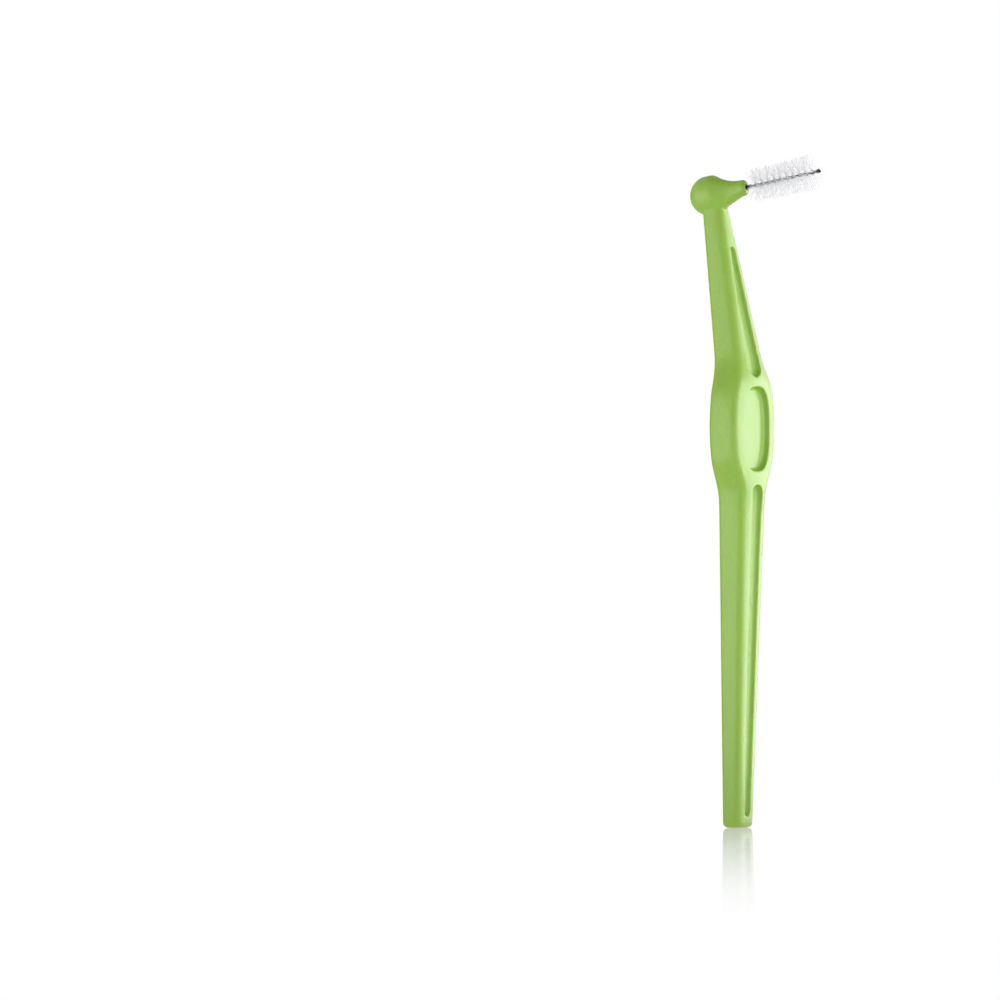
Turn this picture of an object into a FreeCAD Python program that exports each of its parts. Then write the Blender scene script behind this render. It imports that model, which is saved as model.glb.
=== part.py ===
import FreeCAD, Part
import math
import os

from FreeCAD import Placement, Rotation, Vector

# An angled interdental brush that stands on the flat end of its handle.
# +Z runs up the handle, +X is the way the brush points, and Y is across the handle.
# The origin is the centre of the flat end face. Lengths are millimetres, angles degrees.

# Handle lengths, stacked from the flat end upwards
grip_length = 69.0
lower_flare_length = 10.0
pad_length = 10.5
upper_flare_length = 10.5
neck_length = 28.6
neck_root_length = 3.0

# Handle widths across Y, measured between the corners of the section
base_width = 6.45
grip_top_width = 9.6
pad_edge_width = 16.05
pad_width = 16.85
neck_width = 10.0
neck_top_width = 4.3

# Handle thicknesses along X
base_thickness = 4.35
grip_top_thickness = 6.5
pad_thickness = 6.9
neck_thickness = 6.3
neck_top_thickness = 4.95

# The middle of the thickness moves forward up the grip and leans back in the neck
grip_offset = 1.05
neck_lean = 10.0
neck_bend_share = 0.36

# Section shape: soft corners, and faces and sides crowned like a bar of soap
corner_rounding = 1.2
corner_limit_share = 0.4
grip_face_tilt = 8.0
pad_face_tilt = 2.0
neck_face_tilt = 10.0
side_tilt = 16.0

# Rounding of the flat end, seen from the front and from the side
end_rounding_across = 1.5
end_rounding_deep = 1.0

# Walls of all recesses first go straight down, then turn in towards the floor
rim_depth = 0.1

# Oval thumb pocket in the pad, front and back
pocket_length = 17.6
pocket_width = 10.4
pocket_depth = 1.1
pocket_wall_run = 0.7
pocket_oval_power = 2.8
pocket_centre_share = 0.45

# Tapering channels below and above the pocket, front and back
channel_depth = 0.95
channel_wall_share = 0.9
lower_channel_end_height = 2.4
lower_channel_end_radius = 1.1
lower_channel_top_radius = 2.15
lower_channel_top_gap = 3.0
upper_channel_root_radius = 2.5
upper_channel_root_gap = 2.9
upper_channel_tip_radius = 0.85
upper_channel_tip_drop = 7.3

# Pear head on the neck, and the nozzle that the wire leaves
head_radius = 4.15
head_barrel = 1.2
head_shoulder = 2.0
head_setback = 1.85
head_rise = 4.2
head_tilt = 10.1
nozzle_reach = 9.45
nozzle_land = 0.95
nozzle_radius = 1.73
nozzle_rounding = 0.55

# Web under the nozzle: a straight underside, and a small hollow where it meets the neck
chin_reach = 8.25
chin_slope = 30.0
chin_radius = 1.0
chin_root_depth = 4.5
chin_root_width = 3.6
chin_bend_depth = 4.0
chin_tip_share = 0.85
chin_clearance = 0.06

# One steel wire, folded in half and twisted, moulded into the head
strand_diameter = 0.36
strand_sides = 6
strand_gap = 0.08
twist_pitch = 3.05
wire_protrusion = 18.4
wire_anchor = 3.8
fold_height = 0.34
socket_clearance = 0.02
socket_end_room = 0.25
mouth_diameter = 1.3
mouth_depth = 0.3

# Nylon filaments, each one straight thread held between the two strands
filament_thickness = 0.06
filaments_per_tuft = 13
tuft_count = 10
tuft_start = 1.6
brush_root_diameter = 7.0
brush_tip_diameter = 7.6

# Tools are longer than what they cut by this much
overrun = 2.0

# Shares of a length, or of a quarter turn, at which sections are placed
flare_shares = (0.25, 0.5, 0.75, 1.0)
wall_angle_shares = (0.0, 0.5, 1.0)
oval_points = 28

# Heights that follow from the lengths
pad_bottom = grip_length + lower_flare_length
pad_top = pad_bottom + pad_length
neck_bottom = pad_top + upper_flare_length
neck_top = neck_bottom + neck_length
neck_end = neck_top + neck_root_length
bend_height = pad_top + neck_bend_share * upper_flare_length


def along(start, end, share):
    return start + (end - start) * share


def ease(share):
    return (1 - math.cos(math.pi * share)) / 2


def midline(height):
    """Place along X of the middle of the handle's thickness."""
    if height <= grip_length:
        return grip_offset * height / grip_length
    if height <= bend_height:
        return grip_offset
    return grip_offset - math.tan(math.radians(neck_lean)) * (height - bend_height)


def section_corners(height, width, thickness, face_tilt):
    """Ends of the four corner roundings of a section, each with the way it looks.

    The ways are angles from +X, and the ends go round the section against the clock.
    """
    face = math.radians(face_tilt)
    side = math.pi / 2 - math.radians(side_tilt)
    rounding = min(corner_rounding, corner_limit_share * width)
    centre = midline(height)
    corners = []
    for sign_x, sign_y, looks in ((1, 1, (face, side)), (-1, 1, (side, face)),
                                  (-1, -1, (face, side)), (1, -1, (side, face))):
        for look in looks:
            x = sign_x * (thickness / 2 - rounding + rounding * math.cos(look))
            y = sign_y * (width / 2 - rounding + rounding * math.sin(look))
            way = math.atan2(sign_y * math.sin(look), sign_x * math.cos(look))
            corners.append((Vector(centre + x, y, height), way))
    return corners


def arc_poles(start, start_look, end, end_look):
    """Four poles of the round arc between two points of a section."""
    sweep = (end_look - start_look) % (2 * math.pi)
    radius = (end - start).Length / (2 * math.sin(sweep / 2))
    reach = 4 / 3 * math.tan(sweep / 4) * radius
    start_way = Vector(-math.sin(start_look), math.cos(start_look), 0)
    end_way = Vector(-math.sin(end_look), math.cos(end_look), 0)
    return [start, start + start_way * reach, end - end_way * reach, end]


def section_ring(row):
    """Poles of the eight arcs round a section: crowned faces and corner roundings."""
    corners = section_corners(*row)
    following = corners[1:] + corners[:1]
    return [arc_poles(*here, *there) for here, there in zip(corners, following)]


def grip_row(height):
    """Height, width, thickness and face tilt of a section of the straight grip."""
    share = height / grip_length
    return (height, along(base_width, grip_top_width, share),
            along(base_thickness, grip_top_thickness, share), grip_face_tilt)


def neck_row(height):
    """The same for a section of the straight neck, which runs on into the head."""
    share = (height - neck_bottom) / neck_length
    return (height, along(neck_width, neck_top_width, share),
            along(neck_thickness, neck_top_thickness, share), neck_face_tilt)


def pad_rows():
    """The same for the sections between grip and neck: flare, pad and flare."""
    rows = []
    for share in flare_shares:
        rows.append((grip_length + share * lower_flare_length,
                     along(grip_top_width, pad_edge_width, ease(share)),
                     along(grip_top_thickness, pad_thickness, ease(share)),
                     along(grip_face_tilt, pad_face_tilt, ease(share))))
    rows.append(((pad_bottom + pad_top) / 2, pad_width, pad_thickness, pad_face_tilt))
    rows.append((pad_top, pad_edge_width, pad_thickness, pad_face_tilt))
    for share in flare_shares[:-1]:
        rows.append((pad_top + share * upper_flare_length,
                     along(pad_edge_width, neck_width, ease(share)),
                     along(pad_thickness, neck_thickness, ease(share)),
                     along(pad_face_tilt, neck_face_tilt, ease(share))))
    return rows


def straight(low, high):
    line = Part.BSplineCurve()
    line.buildFromPolesMultsKnots([low, high], (2, 2), (0, 1), False, 1)
    return line


def blended(points, heights, start_slope, end_slope):
    line = Part.BSplineCurve()
    line.interpolate(Points=points, Parameters=heights, InitialTangent=start_slope,
                     FinalTangent=end_slope, Scale=False)
    return line


def strip(lines):
    """Face swept by an arc whose four poles run up the handle along four lines."""
    surface = Part.BSplineSurface()
    surface.buildFromPolesMultsKnots(
        [line.getPoles() for line in lines], (4, 4), lines[0].getMultiplicities(),
        (0, 1), lines[0].getKnots(), False, False, 3, lines[0].Degree)
    return surface.toShape()


def end_face(ring):
    edges = []
    for poles in ring:
        curve = Part.BezierCurve()
        curve.setPoles(poles)
        edges.append(curve.toShape())
    return Part.Face(Part.Wire(edges))


def handle_body():
    """Straight grip, blended pad and straight neck, each with eight strips of skin."""
    grip_rings = [section_ring(grip_row(height)) for height in (0, grip_length)]
    neck_rings = [section_ring(neck_row(height)) for height in (neck_bottom, neck_end)]
    rows = pad_rows()
    pad_rings = grip_rings[1:] + [section_ring(row) for row in rows] + neck_rings[:1]
    heights = [grip_length] + [row[0] for row in rows] + [neck_bottom]
    faces = [end_face(grip_rings[0]), end_face(neck_rings[-1])]
    for grip_strip, pad_strip, neck_strip in zip(zip(*grip_rings), zip(*pad_rings),
                                                 zip(*neck_rings)):
        grip = list(zip(*grip_strip))
        neck = list(zip(*neck_strip))
        start_slopes = [(high - low) / grip_length for low, high in grip]
        end_slopes = [(high - low) / (neck_end - neck_bottom) for low, high in neck]
        pad = [blended(list(points), heights, start, end)
               for points, start, end in zip(zip(*pad_strip), start_slopes, end_slopes)]
        faces += [strip([straight(*ends) for ends in grip]), strip(pad),
                  strip([straight(*ends) for ends in neck])]
    shell = Part.Shell(faces)
    shell.sewShape()
    return Part.Solid(shell)


def end_corner_cutters():
    """What lies outside the rounded edges of the flat end."""
    side = math.radians(side_tilt)
    reach = base_thickness / 2 - corner_rounding + corner_rounding * math.sin(side)
    across = base_width / 2 + reach * math.tan(side / 2)
    face = math.radians(grip_face_tilt)
    half_face = base_width / 2 - corner_rounding + corner_rounding * math.sin(face)
    deep = base_thickness / 2 + half_face * math.tan(face / 2)
    span = base_width + 2 * overrun
    cutters = []
    for half, rounding, turn in ((across, end_rounding_across, 90),
                                 (deep, end_rounding_deep, 0)):
        for flip in (0, 180):
            block = Part.makeBox(rounding + overrun, span, rounding + overrun,
                                 Vector(half - rounding, -span / 2, -overrun))
            rod = Part.makeCylinder(rounding, span + 2 * overrun,
                                    Vector(half - rounding, -span / 2 - overrun, rounding),
                                    Vector(0, 1, 0))
            cutter = block.cut(rod)
            cutter.rotate(Vector(0, 0, 0), Vector(0, 0, 1), turn + flip)
            cutters.append(cutter)
    return cutters


def oval(half_length, half_width, depth):
    """Closed smooth oval in a plane across X, squarer than an ellipse."""
    points = []
    for index in range(oval_points):
        angle = 2 * math.pi * index / oval_points
        cosine = math.cos(angle)
        sine = math.sin(angle)
        along_z = math.copysign(abs(cosine) ** (2 / pocket_oval_power), cosine)
        along_y = math.copysign(abs(sine) ** (2 / pocket_oval_power), sine)
        points.append(Vector(depth, half_width * along_y, half_length * along_z))
    curve = Part.BSplineCurve()
    curve.interpolate(points, PeriodicFlag=True)
    return Part.Wire([curve.toShape()])


def tapered_slot(length, start_radius, end_radius, inset, depth):
    """Outline round two circles that lie apart along Z, in a plane across X."""
    start = start_radius - inset
    end = end_radius - inset
    lean = math.asin((start - end) / length)
    start_side = Vector(depth, start * math.cos(lean), start * math.sin(lean))
    end_side = Vector(depth, end * math.cos(lean), length + end * math.sin(lean))
    start_other = Vector(depth, -start_side.y, start_side.z)
    end_other = Vector(depth, -end_side.y, end_side.z)
    return Part.Wire([
        Part.LineSegment(start_side, end_side).toShape(),
        Part.Arc(end_side, Vector(depth, 0, length + end), end_other).toShape(),
        Part.LineSegment(end_other, start_other).toShape(),
        Part.Arc(start_other, Vector(depth, 0, -start), start_side).toShape(),
    ])


def recess(outline, depth, wall_run):
    """Solid that cuts a hollow: walls that turn in steps down to a flat floor."""
    wires = [outline(0, overrun)]
    for share in wall_angle_shares:
        angle = share * math.pi / 2
        sunk = along(rim_depth, depth, math.sin(angle))
        wires.append(outline(wall_run * (1 - math.cos(angle)), -sunk))
    return Part.makeLoft(wires, True, True)


def face_height(row):
    """How far the crown of either face stands from the midline, at a section."""
    _, width, thickness, face_tilt = row
    face = math.radians(face_tilt)
    half_face = width / 2 - corner_rounding + corner_rounding * math.sin(face)
    lower_by = corner_rounding * (1 - math.cos(face))
    return thickness / 2 - lower_by + half_face * math.tan(face / 2)


def slot_on_face(low, high, low_radius, high_radius, way):
    """A channel sunk along the line between two points on the crown of a face.

    Each point gives its place along X, measured in the direction the face looks, and its
    height. The front face looks along +X (way 1) and the back face along -X (way -1).
    """
    rise = high[1] - low[1]
    run = high[0] - low[0]
    length = math.hypot(rise, run)
    wall_run = channel_wall_share * min(low_radius, high_radius)
    cutter = recess(
        lambda inset, depth: tapered_slot(length, low_radius, high_radius, inset, depth),
        channel_depth, wall_run)
    cutter.rotate(Vector(0, 0, 0), Vector(0, 1, 0), math.degrees(math.atan2(run, rise)))
    cutter.translate(Vector(low[0], 0, low[1]))
    if way < 0:
        cutter = cutter.mirror(Vector(0, 0, 0), Vector(1, 0, 0))
    return cutter


def face_recesses():
    """Pocket and two channels for the front face and the same three for the back."""
    pocket_height = along(pad_bottom, pad_top, pocket_centre_share)
    pad_face = face_height((pocket_height, pad_width, pad_thickness, pad_face_tilt))
    low = lower_channel_end_height + lower_channel_end_radius
    high = grip_length + lower_channel_top_gap - lower_channel_top_radius
    root = neck_bottom - upper_channel_root_gap
    tip = neck_top - upper_channel_tip_drop
    cutters = []
    for way in (1, -1):
        pocket = recess(
            lambda inset, depth: oval(pocket_length / 2 - inset, pocket_width / 2 - inset,
                                      depth),
            pocket_depth, pocket_wall_run)
        if way < 0:
            pocket = pocket.mirror(Vector(0, 0, 0), Vector(1, 0, 0))
        pocket.translate(Vector(grip_offset + way * pad_face, 0, pocket_height))
        cutters.append(pocket)

        ends = [(way * midline(height) + face_height(grip_row(height)), height)
                for height in (low, high)]
        cutters.append(slot_on_face(ends[0], ends[1], lower_channel_end_radius,
                                    lower_channel_top_radius, way))

        ends = [(way * midline(height) + face_height(neck_row(height)), height)
                for height in (root, tip)]
        cutters.append(slot_on_face(ends[0], ends[1], upper_channel_root_radius,
                                    upper_channel_tip_radius, way))
    return cutters


# The head's own frame: its axis is the wire's axis, tilted up from +X
head_centre = Vector(midline(neck_top) - head_setback, 0, neck_top + head_rise)
head_along = Vector(math.cos(math.radians(head_tilt)), 0, math.sin(math.radians(head_tilt)))
head_up = Vector(-head_along.z, 0, head_along.x)
nozzle_end = head_centre + head_along * nozzle_reach


def head_arc(centre, radius, start, end):
    """Arc in the plane of the head's profile, from one angle about its centre to another."""
    middle = (start + end) / 2
    return Part.Arc(*[centre + Vector(math.cos(angle), 0, math.sin(angle)) * radius
                      for angle in (start, middle, end)])


def turned(edges, start, end):
    """Solid turned about the wire's axis from a profile with these edges and ends."""
    foot = Vector(start.x, 0, 0)
    toe = Vector(end.x, 0, 0)
    corners = [end, toe, foot, start]
    for near, far in zip(corners, corners[1:]):
        if (far - near).Length > 0:
            edges = edges + [Part.LineSegment(near, far).toShape()]
    return Part.Solid(Part.Face(Part.Wire(edges)).revolve(Vector(0, 0, 0), Vector(1, 0, 0), 360))


def head_body():
    """Pear: a round back on a short barrel, then a hollow flank that ends in the nozzle."""
    land = nozzle_reach - nozzle_land
    run = land - head_barrel
    drop = head_radius - nozzle_radius - head_shoulder
    flank = (run ** 2 + drop ** 2 - head_shoulder ** 2) / (2 * (head_shoulder + drop))
    shoulder_centre = Vector(head_barrel, 0, head_radius - head_shoulder)
    flank_centre = Vector(land, 0, nozzle_radius + flank)
    meet = math.atan2(flank_centre.z - shoulder_centre.z, run)
    round_centre = Vector(nozzle_reach - nozzle_rounding, 0, nozzle_radius - nozzle_rounding)
    back = head_arc(Vector(0, 0, 0), head_radius, math.pi, math.pi / 2)
    shoulder = head_arc(shoulder_centre, head_shoulder, math.pi / 2, meet)
    hollow = head_arc(flank_centre, flank, meet + math.pi, 3 * math.pi / 2)
    rim = head_arc(round_centre, nozzle_rounding, math.pi / 2, 0)
    barrel = Part.LineSegment(back.EndPoint, shoulder.StartPoint)
    bulb = turned([back.toShape(), barrel.toShape()], back.StartPoint, barrel.EndPoint)
    straight_end = Part.LineSegment(hollow.EndPoint, rim.StartPoint)
    nozzle = turned([shoulder.toShape(), hollow.toShape(), straight_end.toShape(),
                     rim.toBSpline().toShape()], shoulder.StartPoint, rim.EndPoint)
    pear = bulb.fuse(nozzle.toNurbs())
    pear.Placement = Placement(head_centre, Rotation(Vector(0, 1, 0), -head_tilt))
    return pear


def ellipse_ring(middle, deep, wide):
    """Ellipse in four curves, from its middle and its two half axes."""
    reach = 4 / 3 * math.tan(math.pi / 8)
    ends = (deep, wide, deep * -1, wide * -1)
    edges = []
    for start, end in zip(ends, ends[1:] + ends[:1]):
        curve = Part.BezierCurve()
        curve.setPoles([middle + start, middle + start + end * reach,
                        middle + end + start * reach, middle + end])
        edges.append(curve.toShape())
    return Part.Wire(edges)


def neck_front(height):
    return midline(height) + face_height(neck_row(height))


def chin_body():
    """Web under the nozzle: bent where it leaves the neck's front, then straight."""
    slope = math.radians(chin_slope)
    downhill = Vector(-math.cos(slope), 0, -math.sin(slope))
    outside = Vector(math.sin(slope), 0, -math.cos(slope))
    tip = head_centre + head_along * chin_reach - head_up * nozzle_radius
    lean = math.atan((neck_front(neck_bottom) - neck_front(neck_top)) / neck_length)

    def pivot(distance):
        """Middle of the hollow's circle, if the straight underside is this long."""
        return tip + downhill * distance + outside * chin_radius

    near, far = [point.x - neck_front(point.z) for point in (pivot(0), pivot(nozzle_reach))]
    distance = nozzle_reach * (near - chin_radius / math.cos(lean)) / (near - far)
    rings = []
    for share in (0.0, *flare_shares):
        angle = along(math.pi + lean, math.pi / 2 + slope, share)
        inwards = Vector(math.cos(angle), 0, math.sin(angle))
        deep = along(chin_root_depth, chin_bend_depth, share)
        middle = pivot(distance) + inwards * (chin_radius + chin_clearance + deep / 2)
        rings.append(ellipse_ring(middle, inwards * (deep / 2),
                                  Vector(0, chin_root_width / 2, 0)))
    tip_half = nozzle_radius * chin_tip_share
    rings.append(ellipse_ring(tip - outside * (chin_clearance + tip_half),
                              outside * -tip_half, Vector(0, tip_half, 0)))
    return Part.makeLoft(rings, True, True)


def wire_socket():
    """Bore that holds the wire in the head, with a small open mouth."""
    bore = strand_diameter * 2 + strand_gap + 2 * socket_clearance
    depth = wire_anchor + socket_end_room
    rod = Part.makeCylinder(bore / 2, depth + overrun, nozzle_end - head_along * depth,
                            head_along)
    mouth = Part.makeCone(bore / 2, mouth_diameter / 2, mouth_depth,
                          nozzle_end - head_along * mouth_depth, head_along)
    return rod.fuse(mouth)


def handle():
    body = handle_body().cut(end_corner_cutters())
    body = body.cut(face_recesses())
    body = body.fuse([head_body(), chin_body()])
    return body.cut(wire_socket())


# The wire is built along +Z from the nozzle's end and then laid on the head's axis
wire_placement = Placement(nozzle_end, Rotation(Vector(0, 1, 0), 90 - head_tilt))
strand_radius = strand_diameter / 2
twist_radius = strand_radius + strand_gap / 2


def twist_point(height, phase):
    angle = 2 * math.pi * height / twist_pitch + phase
    return Vector(twist_radius * math.cos(angle), twist_radius * math.sin(angle), height)


def twist_direction(height, phase):
    angle = 2 * math.pi * height / twist_pitch + phase
    rise = twist_pitch / (2 * math.pi)
    tangent = Vector(-twist_radius * math.sin(angle), twist_radius * math.cos(angle), rise)
    return tangent.normalize()


def biarc(start, start_way, end, end_way):
    """Two arcs from start to end that leave and arrive along the given directions."""
    chord = end - start
    ways = start_way + end_way
    square = 2 * (1 - start_way.dot(end_way))
    reach = chord.dot(ways)
    step = (math.sqrt(reach ** 2 + square * chord.dot(chord)) - reach) / square
    first = start + start_way * step
    last = end - end_way * step
    joint = (first + last) / 2
    joint_way = (last - first).normalize()
    arcs = []
    for begin, way, stop in ((start, start_way, joint), (joint, joint_way, end)):
        straight = stop - begin
        inwards = straight - way * straight.dot(way)
        inwards.normalize()
        radius = straight.dot(straight) / (2 * straight.dot(inwards))
        centre = begin + inwards * radius
        middle = centre + ((begin + stop) / 2 - centre).normalize() * radius
        arcs.append(Part.Arc(begin, middle, stop))
    return arcs


def twisted_wire():
    """One unbroken tube: up one strand, round the fold at the tip, down the other."""
    fold_start = wire_protrusion - fold_height - strand_radius
    quarters = math.ceil((fold_start + wire_anchor) / (twist_pitch / 4))
    heights = [along(-wire_anchor, fold_start, index / quarters)
               for index in range(quarters + 1)]
    ups = [(twist_point(height, 0), twist_direction(height, 0)) for height in heights]
    downs = [(twist_point(height, math.pi), twist_direction(height, math.pi) * -1)
             for height in reversed(heights)]
    crossing = (downs[0][0] - ups[-1][0]).normalize()
    lean = (ups[-1][1] + downs[0][1]) / 2
    top_way = (crossing - lean).normalize()
    top = (Vector(0, 0, wire_protrusion - strand_radius), top_way)
    stops = ups + [top] + downs
    arcs = []
    for (start, start_way), (end, end_way) in zip(stops, stops[1:]):
        arcs += biarc(start, start_way, end, end_way)
    path = Part.Wire([arc.toShape() for arc in arcs])
    start, start_way = stops[0]
    outwards = Vector(start.x, start.y, 0).normalize()
    sideways = start_way.cross(outwards).normalize()
    corners = []
    for index in range(strand_sides):
        angle = 2 * math.pi * index / strand_sides
        corners.append(start + (outwards * math.cos(angle) + sideways * math.sin(angle))
                       * strand_radius)
    tube = path.makePipeShell([Part.makePolygon(corners + corners[:1])], True, False)
    area = strand_sides / 2 * strand_radius ** 2 * math.sin(2 * math.pi / strand_sides)
    tightest = min(edge.Curve.Radius for edge in path.Edges)
    gap = min((up[0] - down[0]).Length for up in ups for down in downs) - strand_diameter
    print("wire length", round(path.Length, 2), "tightest arc", round(tightest, 3),
          "volume share", round(tube.Volume / area / path.Length, 4), "arcs", len(arcs),
          "least gap between strands", round(gap, 3))
    tube.Placement = wire_placement
    return tube


def filament_tuft(number):
    """The threads held by one half turn of the twist, each in its own slot of the gap."""
    spacing = twist_pitch / 2 / filaments_per_tuft
    threads = []
    for index in range(filaments_per_tuft):
        order = number * filaments_per_tuft + index
        height = tuft_start + (order + 0.5) * spacing
        share = order / (tuft_count * filaments_per_tuft - 1)
        span = along(brush_root_diameter, brush_tip_diameter, share)
        thread = Part.makeBox(span, filament_thickness, filament_thickness,
                              Vector(-span / 2, -filament_thickness / 2,
                                     height - filament_thickness / 2))
        turn = 360 * height / twist_pitch + 90
        thread.rotate(Vector(0, 0, height), Vector(0, 0, 1), turn)
        threads.append(thread)
    tuft = Part.Compound(threads)
    tuft.Placement = wire_placement
    return tuft


def export(shape, name):
    shape.exportStep(os.path.join("parts", name + ".step"))
    print(name, len(shape.Solids), "solids", round(shape.Volume, 3), "valid", shape.isValid())


os.makedirs("parts", exist_ok=True)
export(handle(), "handle")
export(twisted_wire(), "twisted_wire")
for number in range(tuft_count):
    export(filament_tuft(number), f"filament_tuft_{number + 1:02d}")
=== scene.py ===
# %% [markdown]
# # An interdental brush, built in Blender around its CAD frame
# The object is a small hand tool: a moulded plastic handle with a thumb pocket, and a short
# brush of twisted wire that points forwards from its head. The CAD frame fixes where every
# piece goes. This script dresses the frame with finer pieces, one cell at a time.

# %% Load the CAD frame
import math
import random

import bmesh
import bpy
from mathutils import Matrix, Vector


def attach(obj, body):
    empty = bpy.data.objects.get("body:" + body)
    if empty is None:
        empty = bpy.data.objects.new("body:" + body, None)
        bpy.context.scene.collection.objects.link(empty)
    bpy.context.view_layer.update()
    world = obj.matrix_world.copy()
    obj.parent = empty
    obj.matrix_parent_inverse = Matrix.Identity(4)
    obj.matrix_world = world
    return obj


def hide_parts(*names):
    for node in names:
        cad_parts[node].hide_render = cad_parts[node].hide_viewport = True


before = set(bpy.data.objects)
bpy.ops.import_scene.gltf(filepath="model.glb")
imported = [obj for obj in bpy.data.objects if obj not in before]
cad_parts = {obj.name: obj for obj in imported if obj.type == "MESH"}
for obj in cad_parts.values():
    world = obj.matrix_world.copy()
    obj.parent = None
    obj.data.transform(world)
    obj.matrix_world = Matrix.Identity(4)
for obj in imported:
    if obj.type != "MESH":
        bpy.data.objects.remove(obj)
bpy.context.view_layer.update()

print("nodes in the frame:", sorted(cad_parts))

# %% [markdown]
# ## Working in millimetres
# The frame is in metres, but the wire is a third of a millimetre thick, and Blender's tools
# have merge distances that suit larger numbers. So each piece is modelled with one unit to the
# millimetre, and shrunk to metres when it is finished. Operators act on whatever is selected,
# so `rest()` deselects everything first, and `pick()` selects by place or normal in code.

# %% Start a mesh and select in it
METRES_PER_MILLIMETRE = 0.001
SAME_PLACE = 0.01
JUST_INSIDE = 0.001


def rest():
    if bpy.context.object and bpy.context.object.mode != "OBJECT":
        bpy.ops.object.mode_set(mode="OBJECT")
    bpy.ops.object.select_all(action="DESELECT")


def empty_mesh(name):
    """A new object with nothing in its mesh, open in edit mode."""
    rest()
    bpy.ops.mesh.primitive_plane_add(size=1)
    piece = bpy.context.object
    piece.name = name
    bpy.ops.object.mode_set(mode="EDIT")
    bpy.ops.mesh.select_all(action="SELECT")
    bpy.ops.mesh.delete(type="VERT")
    return piece


def middle(element):
    return sum((vert.co for vert in element.verts), Vector()) / len(element.verts)


def pick(kind, test):
    """Selects the verts, edges or faces of the open mesh that pass a test."""
    mesh = bpy.context.object.data
    shape = bmesh.from_edit_mesh(mesh)
    bpy.ops.mesh.select_all(action="DESELECT")
    bpy.context.tool_settings.mesh_select_mode = (
        kind == "verts", kind == "edges", kind == "faces")
    for element in getattr(shape, kind):
        if test(element):
            element.select_set(True)
    shape.select_flush_mode()
    bmesh.update_edit_mesh(mesh)


def face_outwards():
    """Turns all faces of the open mesh outwards."""
    bpy.ops.mesh.select_all(action="SELECT")
    bpy.ops.mesh.normals_make_consistent(inside=False)


# %% Apply, join, settle and shrink
def apply_modifier(piece, kind, **settings):
    rest()
    bpy.context.view_layer.objects.active = piece
    piece.select_set(True)
    modifier = piece.modifiers.new(kind, kind)
    for setting, value in settings.items():
        setattr(modifier, setting, value)
    bpy.ops.object.modifier_apply(modifier=modifier.name)


def join(pieces):
    rest()
    for piece in pieces:
        piece.select_set(True)
    bpy.context.view_layer.objects.active = pieces[0]
    bpy.ops.object.join()
    return pieces[0]


def settle(piece):
    """Moves a piece's place, turn and scale into its mesh."""
    rest()
    bpy.context.view_layer.objects.active = piece
    piece.select_set(True)
    bpy.ops.object.transform_apply(location=True, rotation=True, scale=True)


def shrink_to_metres(piece):
    piece.scale = (METRES_PER_MILLIMETRE,) * 3
    settle(piece)
    bpy.ops.object.shade_smooth()
    print(piece.name, len(piece.data.vertices), "vertices", len(piece.data.polygons), "faces")


# %% [markdown]
# ## The camera
# The photograph was taken level, from 32 degrees round from the side of the handle, and from
# far enough away that the handle shows no perspective. The frame of the photograph is 210 mm
# wide. A long lens two metres away gives the same view.

# %% Set up the camera
VIEW_AZIMUTH = math.radians(32)
FRAME_WIDTH = 0.210
CAMERA_DISTANCE = 2.0
SENSOR_WIDTH = 36.0
AIM_ACROSS = -0.0499
AIM_HEIGHT = 0.0688

view_right = Vector((math.cos(VIEW_AZIMUTH), math.sin(VIEW_AZIMUTH), 0))
view_back = Vector((math.sin(VIEW_AZIMUTH), -math.cos(VIEW_AZIMUTH), 0))
aim = view_right * AIM_ACROSS + Vector((0, 0, AIM_HEIGHT))

rest()
bpy.ops.object.camera_add(location=aim + view_back * CAMERA_DISTANCE,
                          rotation=(math.pi / 2, 0, VIEW_AZIMUTH))
camera = bpy.context.object
camera.data.sensor_width = SENSOR_WIDTH
camera.data.lens = SENSOR_WIDTH * CAMERA_DISTANCE / FRAME_WIDTH
bpy.context.scene.camera = camera
bpy.context.scene.view_settings.view_transform = "Standard"
print("lens", round(camera.data.lens, 1), "mm")

# %% [markdown]
# ## Graphs of nodes
# The room, the floor and every finish are graphs of shader nodes. These helpers add one node
# and wire it in the same call, so that a graph reads from its source to its output.

# %% Helpers for node graphs
WHITE = (1, 1, 1, 1)


def node(tree, kind, settings=(), **inputs):
    """Adds a node, with its settings as attributes and its inputs by name or number."""
    made = tree.nodes.new(kind)
    for setting, value in dict(settings).items():
        setattr(made, setting, value)
    for name, value in inputs.items():
        numbered = name[0] == "i" and name[1:].isdigit()
        socket = made.inputs[int(name[1:]) if numbered else name.replace("_", " ")]
        if isinstance(value, bpy.types.NodeSocket):
            tree.links.new(value, socket)
        else:
            socket.default_value = value
    return made


def combine(tree, operation, one, other):
    """Math on two values, each a socket or a number."""
    return node(tree, "ShaderNodeMath", {"operation": operation}, i0=one, i1=other).outputs[0]


def remap(tree, value, before, after, way="LINEAR"):
    """Carries a value from one range over to another, and stops at its ends."""
    return node(tree, "ShaderNodeMapRange", {"interpolation_type": way}, i0=value,
                i1=before[0], i2=before[1], i3=after[0], i4=after[1]).outputs[0]


def grey_ramp(tree, value, stops):
    """A ramp through any number of (place, grey) stops."""
    made = node(tree, "ShaderNodeValToRGB", i0=value)
    elements = made.color_ramp.elements
    while len(elements) > 1:
        elements.remove(elements[-1])
    for index, (place, grey) in enumerate(stops):
        element = elements[0] if index == 0 else elements.new(place)
        element.position = place
        element.color = (grey, grey, grey, 1)
    return made.outputs[0]


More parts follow.
